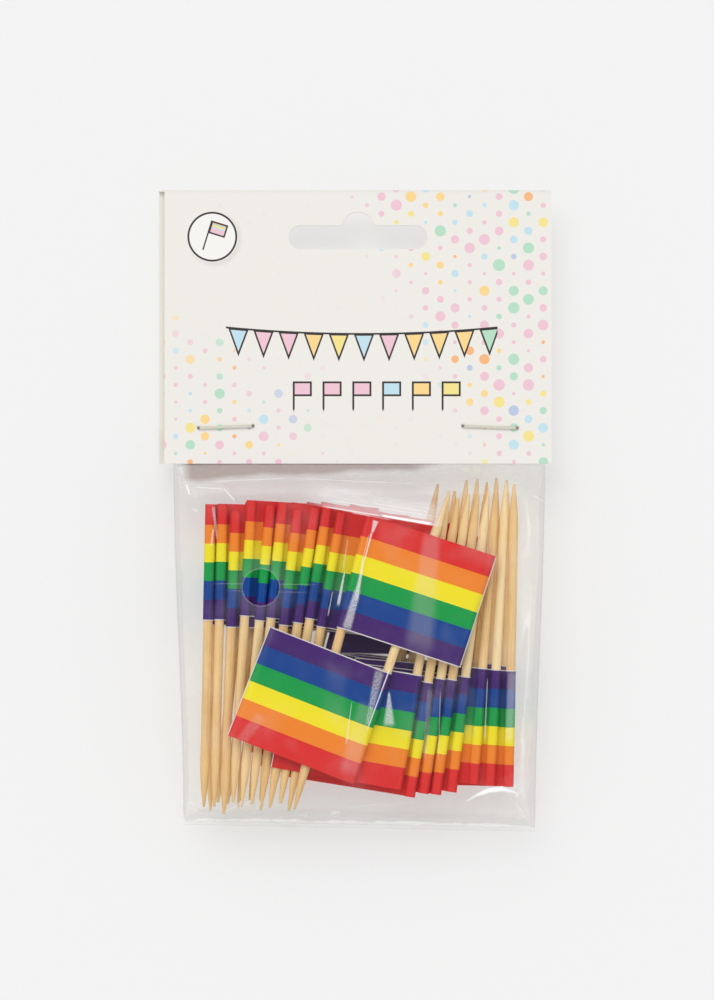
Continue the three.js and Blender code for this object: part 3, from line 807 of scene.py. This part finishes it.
def strip_line():
    """The middle line of the paper in section, from the fly's end round the stick and back:
    straight, then a ring that tightens by one sheet, then a short bend and straight again."""
    out = np.linspace(FLY, 0, FLY_STEPS + 1)[:-1]
    outer_radius = BORE + 1.5 * PAPER
    inner_radius = BORE + 0.5 * PAPER
    angle = np.linspace(math.pi / 2, math.pi * 2 + WRAP_ENDS, WRAP_STEPS)
    share = np.clip((angle - math.pi / 2) / (math.pi / 2), 0, 1)
    radius = outer_radius + (inner_radius - outer_radius) * share
    bend_from = np.array([radius[-1] * math.cos(angle[-1]), radius[-1] * math.sin(angle[-1])])
    bend_to = np.array([BEND_TO, inner_radius])
    bend_by = np.array([BEND_BY, inner_radius - BEND_DIP])
    t = np.linspace(0, 1, BEND_STEPS + 1)[1:, None]
    bend = bend_from * (1 - t) ** 2 + bend_by * 2 * t * (1 - t) + bend_to * t**2
    back = np.linspace(bend_to[0], FLY, FLY_STEPS + 1)[1:]
    line_x = np.concatenate([out, radius * np.cos(angle), bend[:, 0], back])
    line_y = np.concatenate([
        np.full(len(out), outer_radius), radius * np.sin(angle), bend[:, 1],
        np.full(len(back), inner_radius),
    ])
    on_fly = np.concatenate([
        np.ones(len(out)), np.zeros(len(angle)), np.linspace(0, 1, BEND_STEPS),
        np.ones(len(back)),
    ])
    return line_x, line_y, on_fly


def flag_points(turn, fall, skew, wave, slip):
    """The strip's two faces a sheet apart, carried up the hoist. turn 1 lets the fly leave at
    the back of the stick and -1 at its front, fall is its sinking, and skew turns the fly."""
    line_x, line_y, on_fly = strip_line()
    line_y = line_y + on_fly * fall(np.maximum(line_x, 0))
    slope_x = np.gradient(line_x)
    slope_y = np.gradient(line_y)
    length = np.hypot(slope_x, slope_y)
    normal = np.stack([slope_y / length, -slope_x / length], -1)
    line = np.stack([line_x, line_y], -1)
    half = PAPER / 2 - SHEET_GAP
    loop = np.concatenate([line + normal * half, (line - normal * half)[::-1]])
    fly_loop = np.concatenate([on_fly, on_fly[::-1]])
    share = np.clip((loop[:, 0] - WRAP) / (FLY - WRAP), 0, 1) * (fly_loop > 0.5)
    up = np.linspace(0, 1, HOIST_STEPS + 1)[:, None]
    px = np.broadcast_to(loop[:, 0], (len(up), len(loop)))
    py = np.broadcast_to(loop[:, 1], px.shape) + wave(share, up)
    px = px + math.tan(skew) * (up - 0.5) * HOIST * share
    pz = WAIST - slip + up * HOIST - math.tan(skew) * share * (FLY - WRAP)
    flat = np.stack([
        np.broadcast_to(np.maximum(loop[:, 0], 0) / FLY, px.shape),
        np.broadcast_to(up, px.shape),
    ], -1)
    return np.stack([px, py * turn, pz], -1), flat


def make_flag(name, side, place, depth, body, turn, fall, skew, wave, slip=0.0):
    """A flag in its place, closed by a lid at each end of the hoist, where the cut edge shows."""
    points, flat = flag_points(turn, fall, skew, wave, slip)
    rows, loop = points.shape[:2]
    points = settle(points, side, *place, depth).reshape(-1, 3)
    faces = ring_faces(rows, loop)
    ends = np.arange(loop // 2 - 1)
    lid = np.stack([ends, ends + 1, loop - 2 - ends, loop - 1 - ends], -1)
    count = len(points)
    points = np.concatenate([points, points[:loop], points[-loop:]])
    flat = np.concatenate([flat.reshape(-1, 2), flat[0], flat[-1]])
    faces = np.concatenate([faces, lid[:, ::-1] + count, lid + count + loop])
    if turn == -1:
        faces = faces[:, ::-1]
    own = {
        "cut": np.concatenate([np.zeros(count), np.ones(2 * loop)]),
        "print_shift": chance.uniform(-PRINT_SHIFT, PRINT_SHIFT),
    }
    return make_piece(name, points, faces, paper, body, flat, own)


def still(share, up):
    """No wave: a fly that its neighbours press flat."""
    return share * 0


def gentle(lift, bow):
    """A fly that lies free: it bows out over its width and lifts a little at one corner."""
    def wave(share, up):
        return bow * np.sin(share * math.pi) * (0.6 + 0.4 * up) + lift * share**2 * (1 - up)
    return wave


def make_pick(label, side, place, depth, body, replaced, turn, fall, skew=0.0, wave=still):
    """A stick and its flag in place of their solids."""
    stick = make_stick("birch_" + label, side, place, depth, body)
    flag = make_flag("paper_" + label, side, place, depth, body, turn, fall, skew, wave)
    for piece, node in zip((stick, flag), replaced):
        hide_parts(node)


# In a row each fly sinks behind the next stick by one layer. The right row's last fly leaves its
# stick at the front, and so do the top picks', whose flies lie free over the rows.
TOP_WAVE = (0.12, 0.1)

for side in ("left", "right"):
    body = side + "_bunch"
    for row, depth in ((side, FRONT_DEPTH), (side + "_rear", REAR_DEPTH)):
        slope, flat_from = fall_of(row)
        picks = lay_row(row)
        for i, place in enumerate(picks):
            label = f"{side}_{i + 1:02d}" if row == side else f"{row}_{i + 1}"
            nodes = ("stick_" + label, "flag_" + label)
            if row != side:
                nodes = ("pick_" + label, "pick_" + label)
            turn = 1
            fall = lambda u, i=i: slope * np.minimum(u, flat_from[i])
            if row == "right" and i == len(picks) - 1:
                turn = -1
                fall = lambda u: TOP_LIFT * np.minimum(1, u / WRAP)
            make_pick(label, side, place, depth, body, nodes, turn, fall)
    beyond, lean, drop, skew = TOPS[side]
    place = (lay_row(side)[-1][0] + beyond, math.radians(lean), drop)
    lift = TOP_LIFT + (LAYER if side == "right" else 0)
    fall = lambda u, lift=lift: lift * np.minimum(1, u / (4 * WRAP))
    label = side + "_top"
    nodes = ("stick_" + label, "flag_" + label)
    make_pick(label, side, place, TOP_DEPTH, label + "_pick", nodes, -1, fall,
              math.radians(skew), gentle(*TOP_WAVE))

# One more pick ends the left rear row, with its flag glued lower than the others and askew.
END_GAP = 0.45
END_DROP = 2.0
END_SLIP = 6.1
END_SKEW = math.radians(-16)

at_waist, lean, _ = lay_row("left_rear")[-1]
at_point = at_waist - math.tan(lean) * (WAIST - POINT_LENGTH)
at_waist += 2 * WRAP + END_GAP
at_point += 2 * STICK_RADIUS + ROWS["left_rear"][1]
lean = math.atan((at_waist - at_point) / (WAIST - POINT_LENGTH))
place = (at_waist, lean, END_DROP)
make_stick("birch_left_end", "left", place, REAR_DEPTH, "left_bunch")
make_flag("paper_left_end", "left", place, REAR_DEPTH, "left_bunch", 1, lambda u: u * 0,
          END_SKEW, still, END_SLIP)


# The bag: clear film, welded across the foot and open at the mouth, where the card grips it. It
# is drawn over the picks, with creases that run from the card and from the foot's corners. Air
# leaves it through a round vent in the front.
FILM_HALF_WIDTH = (39.9, 37.8)
FILM_DEPTH = 7.6
MOUTH_DEPTH = 0.35
WELD_DEPTH = 0.2
MOUTH_LEVEL = -24.1
SHOULDER = (-50.6, 10.5)
TOE = (-122.3, 8.6)
TOE_ROUNDNESS = 0.6
CORNER_ROUNDNESS = 0.62
FLATNESS = 5
SEAL = 0.8
SLANT = 1.5
VENT = (-20.75, -80.6, 3.9)
ROUND_POINTS = 260
LEVELS = 190
MOUTH_RINGS = 12
TOE_RINGS = 40

# Ridges of the film: from X and Z, to X and Z, and their width and height. They fade in at the
# card's lower edge and out at the foot.
RIDGES = [
    (-38, -52, -33, -66, 1.6, 0.5),
    (-30, -54, -26, -66, 2.2, 0.35),
    (-14, -52, -10, -72, 2.6, 0.3),
    (4, -53, 9, -70, 2.4, 0.35),
    (20, -52, 17, -66, 2.0, 0.4),
    (33, -53, 37, -68, 1.8, 0.5),
    (23, -126, 35, -124, 1.4, 0.5),
    (35, -124, 38, -131, 1.2, 0.4),
    (-36, -131, -28, -124, 1.6, 0.45),
    (-12, -131, -4, -126, 1.8, 0.35),
    (4, -131, 12, -127, 1.6, 0.3),
    (-39, -80, -36, -118, 1.6, 0.4),
    (39, -74, 36, -112, 1.6, 0.4),
]
RIDGE_ENDS = 0.3
RIDGE_START = (1.5, 3)
RIDGE_STOP = 4

# Painted highlights, streaks where the film mirrors the light: from and to, as places in the
# photograph, then the half width in millimetres at each end, the share of grit and the strength.
ORIGIN_PIXEL = (358, 212)
STREAKS = [
    ((181, 466), (187, 484), 0.45, 0.4, 0.0, 0.9),
    ((187, 484), (191, 496), 0.35, 0.15, 0.0, 0.8),
    ((196, 487), (226, 489), 0.18, 0.14, 0.0, 0.45),
    ((224, 488), (236, 501), 0.16, 0.3, 0.0, 0.5),
    ((200, 482), (290, 478), 0.2, 0.16, 0.0, 0.35),
    ((290, 478), (420, 484), 0.16, 0.1, 0.0, 0.3),
    ((376, 520), (372, 533), 0.85, 0.3, 0.1, 0.6),
    ((372, 531), (364, 562), 0.3, 0.16, 0.1, 0.6),
    ((369, 534), (361, 566), 0.1, 0.12, 0.1, 0.4),
    ((364, 558), (355, 604), 0.18, 0.85, 0.5, 0.85),
    ((358, 588), (346, 630), 0.9, 1.3, 0.75, 0.85),
    ((348, 538), (343, 570), 0.12, 0.18, 0.0, 0.3),
    ((345, 570), (338, 606), 0.2, 0.5, 0.3, 0.7),
    ((333, 590), (328, 616), 0.1, 0.2, 0.0, 0.4),
    ((214, 528), (212, 546), 0.2, 0.35, 0.2, 0.45),
    ((212, 583), (322, 584), 0.1, 0.1, 0.0, 0.16),
    ((226, 590), (312, 592), 0.08, 0.1, 0.0, 0.14),
    ((322, 506), (384, 516), 0.2, 0.24, 0.0, 0.45),
    ((380, 515), (434, 524), 0.34, 0.42, 0.1, 0.85),
    ((330, 500), (440, 517), 0.14, 0.14, 0.0, 0.3),
    ((352, 512), (372, 516), 0.3, 0.2, 0.2, 0.5),
    ((352, 700), (346, 745), 0.1, 0.3, 0.3, 0.4),
    ((440, 690), (438, 760), 0.12, 0.1, 0.0, 0.3),
    ((487, 676), (484, 740), 0.14, 0.18, 0.0, 0.35),
    ((380, 668), (366, 728), 1.4, 0.6, 0.8, 0.6),
    ((391, 664), (366, 732), 0.2, 0.16, 0.0, 0.7),
    ((389, 690), (389, 726), 0.2, 1.7, 0.6, 0.75),
    ((466, 799.5), (477, 793), 0.15, 0.45, 0.0, 0.85),
    ((475, 794), (489, 788.5), 0.4, 0.75, 0.0, 0.95),
    ((486, 789), (504, 787), 0.7, 0.75, 0.0, 0.95),
    ((501, 787), (518, 792), 0.75, 0.15, 0.0, 0.9),
    ((514, 801), (523, 812), 0.2, 0.6, 0.5, 0.6),
    ((523, 812), (533, 828), 0.4, 0.2, 0.3, 0.5),
    ((331, 812), (341, 811), 0.7, 0.5, 0.3, 0.8),
    ((298, 813), (309, 815), 0.4, 0.3, 0.4, 0.5),
    ((245, 804), (252, 798), 0.3, 0.25, 0.3, 0.4),
    ((225, 812), (232, 806), 0.35, 0.2, 0.3, 0.4),
    ((188, 821), (206, 814), 0.6, 0.4, 0.4, 0.75),
    ((232, 808), (244, 799), 0.3, 0.5, 0.4, 0.45),
    ((252, 816), (262, 800), 0.3, 0.45, 0.5, 0.4),
    ((262, 822), (300, 819), 0.2, 0.2, 0.2, 0.3),
    ((346, 806), (420, 800), 0.14, 0.1, 0.0, 0.22),
    ((186, 801), (203, 806), 0.3, 0.2, 0.2, 0.35),
    ((430, 512), (372, 503), 0.16, 0.12, 0.0, 0.3),
    ((392, 520), (338, 509), 0.18, 0.14, 0.0, 0.3),
    ((533, 495), (546, 503), 0.3, 0.2, 0.4, 0.5),
    ((546, 486), (541, 690), 0.16, 0.2, 0.0, 0.3),
    ((214, 506), (218, 540), 0.5, 0.2, 0.3, 0.35),
    ((432, 530), (418, 654), 2.4, 4.2, 0.3, 0.13),
    ((366, 700), (348, 776), 2.0, 2.8, 0.5, 0.13),
    ((262, 714), (240, 742), 1.6, 1.6, 0.6, 0.13),
    ((512, 668), (508, 744), 1.4, 1.0, 0.1, 0.2),
    ((430, 686), (424, 760), 0.8, 0.5, 0.4, 0.14),
]

# The film above a crease that slants down to the right is folded over, and the light that the fold
# mirrors is painted on it as a whiter sheen. The crease runs through a place in the photograph, and
# slopes in its pixels.
CREASE_FROM = (322, 506.5)
CREASE_SLOPE = 0.172
CREASE_EDGE = 0.8
CREASE_TOP = (30, 12)
CREASE_ENDS = ((-14, -4), (19, 15.5))

# How clear the film is: its weakest veil, the painted sheen where it is seen edge-on and the
# strength of its painted highlights, how strongly it mirrors at most and how far it bends light,
# then how deep it wrinkles, and its colours, one of them for the painted shade under the card.
CLEAREST = 0.003
EDGE_SHEEN = 0.12
SHINE = 0.95
MOST_MIRROR = 0.15
BENDING = 1.38
WRINKLE_DEPTH = 1.4
FILM_WHITE = linear(248, 248, 249)
FILM_SHADED = linear(164, 147, 142)
FILM_CLEAR = (0.99, 0.992, 0.988, 1.0)

film = Finish("clear_film", Specular_IOR_Level=0.3)
x, y, z = film.places()
on_front = y.rise(-0.5, -1.5)
wrinkle_place = film.point(x * 0.5, z * 0.16, on_front * 9)
wrinkles = film.noise(wrinkle_place, 0.2, 2, 0.45)
crumple = film.noise(film.point(x, y, z), 0.5, 2, 0.5)
grainy = film.noise(film.point(x, y, z * 0.7), 5.0, 2, 0.7).rise(0.42, 0.66)


def beside_line(px, pz, from_x, from_z, to_x, to_z):
    """How far along a line a place lies, as a share of its length, and how far beside it."""
    span = math.hypot(to_x - from_x, to_z - from_z)
    ux = (to_x - from_x) / span
    uz = (to_z - from_z) / span
    ahead = ((px - from_x) * ux + (pz - from_z) * uz) / span
    aside = (px - from_x) * uz - (pz - from_z) * ux
    return ahead, aside


def streak(start, end, half_start, half_end, grit):
    """A painted highlight along a long bright fold of the film, from one place to the other. Its
    half width changes evenly from start to end, and grit breaks it into grains."""
    ahead, aside = beside_line(x, z, *start, *end)
    half = half_start + ahead * (half_end - half_start)
    body = (abs(aside) / half).rise(1.0, 0.35) * ahead.rise(-0.02, 0.1) * ahead.rise(1.02, 0.85)
    if grit:
        body = body * (1 - grit + grit * grainy)
    return body


def photo(px, py):
    """A place in the photograph as X and Z."""
    return (px - ORIGIN_PIXEL[0]) / PIXELS_PER_MM, (ORIGIN_PIXEL[1] - py) / PIXELS_PER_MM


# All the painted highlights together, on the front only.
shine = None
for start, end, half_start, half_end, grit, strong in STREAKS:
    one = streak(photo(*start), photo(*end), half_start, half_end, grit) * strong
    shine = one if shine is None else shine.most(one)
shine = shine * on_front

# The crease and the painted sheen of the folded-over film above it, the painted shade that the card
# casts on the film below it, and the rim of the vent, a painted highlight ring, round which the film
# is a little cloudy. Here and there a soft painted sheen, light that the film mirrors, lies over the
# paper.
facing = film.add("ShaderNodeLayerWeight", {}, {"Blend": 0.5}, "Facing")
film_bump = film.bump(wrinkles + crumple * 0.06, WRINKLE_DEPTH)
mirror = film.add("ShaderNodeFresnel", {}, {"IOR": BENDING, "Normal": film_bump})
mirror = mirror.least(MOST_MIRROR)
past_crease_start = x * PIXELS_PER_MM + (ORIGIN_PIXEL[0] - CREASE_FROM[0])
crease_line = CREASE_FROM[1] + past_crease_start * CREASE_SLOPE
above_line = crease_line - (ORIGIN_PIXEL[1] - z * PIXELS_PER_MM)
above_crease = above_line.rise(-CREASE_EDGE, CREASE_EDGE) * above_line.rise(*CREASE_TOP)
folds = film.noise(film.point(x * 0.1, 4.0, z + x * 0.16), 0.9, 2, 0.5)
# Painted sheen on the folded-over film above the crease.
fold_sheen = above_crease * x.rise(*CREASE_ENDS[0]) * x.rise(*CREASE_ENDS[1])
fold_sheen = fold_sheen * (0.2 + folds * 0.36)
shaded_top = z.rise(-63, -56) * 0.12
soft_creases = film.noise(film.point(x, 2.0, z * 0.4), 0.11, 2, 0.5)
under_card = (z - x * 0.045 + (soft_creases - 0.5) * 3.0).rise(-57.4, -55.2) * x.rise(24, 10)
under_card = under_card * x.rise(-39.5, -35.5)
from_vent = ((x - VENT[0]) ** 2 + (z - VENT[1]) ** 2) ** 0.5
# A painted highlight ring along the vent's rim.
vent_rim_highlight = (abs(from_vent - VENT[2] - 0.1) / 0.22).rise(1.0, 0.2) * 0.08
vent_haze = from_vent.rise(VENT[2] + 5, VENT[2]) * 0.05
# A soft painted sheen, light that the film mirrors, here and there over the paper.
soft_sheen = film.noise(film.point(x, 3.0, z), 0.1, 2, 0.5).rise(0.5, 0.78) * (0.5 + grainy * 0.5)
over_front = fold_sheen + shaded_top + under_card * 0.6 + vent_rim_highlight + vent_haze + soft_sheen * 0.08
# The film's own faint haze plus all its painted light: a painted sheen where it is seen edge-on, the
# painted highlights, and the painted sheens and shade over the front.
haze_and_painted_light = (CLEAREST + facing ** 4 * EDGE_SHEEN + shine * SHINE + over_front * on_front).kept()
covered = (haze_and_painted_light + mirror * (1 - haze_and_painted_light)).kept()
matt = haze_and_painted_light / covered
film.set(film.surface, "Base Color", film.blend(under_card.kept(), FILM_WHITE, FILM_SHADED))
film.set(film.surface, "Metallic", 1 - matt)
film.set(film.surface, "Roughness", 0.1 + matt * 0.3)
clear = film.add("ShaderNodeBsdfTransparent", {}, {"Color": FILM_CLEAR})
skin = film.add("ShaderNodeMixShader", {}, {0: covered, 1: clear, 2: film.surface.outputs[0]})
film.set(film.output, "Surface", skin)


def smooth(share):
    """The S curve from 0 to 1."""
    share = np.clip(share, 0, 1)
    return share * share * (3 - 2 * share)


def film_points():
    """Rings of a superellipse from the mouth to the foot. The depth swells below the card as an
    S curve and closes over the toe as a blunt quarter round; ridges then lift it off the picks,
    each a bell curve across its line."""
    levels = np.concatenate([
        np.linspace(MOUTH_LEVEL, SHOULDER[0], MOUTH_RINGS)[:-1],
        np.linspace(SHOULDER[0], TOE[0], LEVELS - MOUTH_RINGS - TOE_RINGS)[:-1],
        TOE[0] - TOE[1] * np.sin(np.linspace(0, math.pi / 2, TOE_RINGS)),
    ])
    into = smooth((SHOULDER[0] - levels) / SHOULDER[1])
    past = np.clip((TOE[0] - levels) / TOE[1], 0, 1)
    toe = (1 - past**2) ** TOE_ROUNDNESS
    depth = WELD_DEPTH + (MOUTH_DEPTH + (FILM_DEPTH - MOUTH_DEPTH) * into - WELD_DEPTH) * toe
    share = (CARD_BOTTOM - levels) / (CARD_BOTTOM - TOE[0] + TOE[1])
    half = FILM_HALF_WIDTH[0] + (FILM_HALF_WIDTH[1] - FILM_HALF_WIDTH[0]) * smooth(share)
    angle = np.arange(ROUND_POINTS) * 2 * math.pi / ROUND_POINTS
    c = np.cos(angle)
    s = np.sin(angle)
    across = np.sign(c) * np.abs(c) ** CORNER_ROUNDNESS
    into_depth = np.sign(s) * (1 - np.abs(across) ** FLATNESS) ** (1 / FLATNESS)
    px = half[:, None] * across
    py = depth[:, None] * into_depth
    lowered = np.clip((CARD_BOTTOM - levels) / (CARD_BOTTOM - TOE[0]), 0, 1)
    pz = levels[:, None] - SLANT * lowered[:, None] * (0.5 + px / (2 * half[:, None]))
    px = px + SHIFT
    ridge = 0
    for *line, wide, tall in RIDGES:
        ahead, aside = beside_line(px, pz, *line)
        ends = smooth(ahead / RIDGE_ENDS) * smooth((1 - ahead) / RIDGE_ENDS)
        ridge = ridge + tall * ends * np.exp(-((aside / wide) ** 2))
    hidden = smooth((CARD_BOTTOM + RIDGE_START[0] - pz) / RIDGE_START[1])
    closing = smooth((pz - (TOE[0] - TOE[1])) / RIDGE_STOP)
    py = py + np.sign(py) * ridge * hidden * closing * np.abs(into_depth)
    seal_ring = np.stack([px[-1], py[-1], pz[-1] - SEAL], -1)
    rings = np.stack([px, py, pz], -1)
    return np.concatenate([rings, seal_ring[None]])


# The vent is cut out of the front, and the points at its rim are pushed out to its circle. Then
# the foot is closed by its weld.
points = film_points()
rings, around = points.shape[:2]
faces = ring_faces(rings, around)[:, ::-1]
points = points.reshape(-1, 3)
reach = np.hypot(points[:, 0] - VENT[0], points[:, 2] - VENT[1])
in_vent = (reach < VENT[2]) & (points[:, 1] < 0)
faces = faces[~in_vent[faces].all(1)]
push = VENT[2] / np.maximum(reach, 0.01)
near = in_vent & np.isin(np.arange(len(points)), faces)
points[near, 0] = VENT[0] + (points[near, 0] - VENT[0]) * push[near]
points[near, 2] = VENT[1] + (points[near, 2] - VENT[1]) * push[near]
used, faces = np.unique(faces, return_inverse=True)
faces = faces.reshape(-1, 4)
points = points[used]
foot = np.arange(len(points) - around, len(points))
pair = np.arange(1, around // 2 - 1)
weld = foot[np.stack([pair, pair + 1, around - pair - 1, around - pair], -1)]
ends = foot[np.array([[around - 1, 0, 1], [around // 2 - 1, around // 2, around // 2 + 1]])]
faces = [*faces.tolist(), *weld.tolist(), *ends.tolist()]
film_bag = make_piece("film_bag", points, faces, film, "packet")
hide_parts("bag")
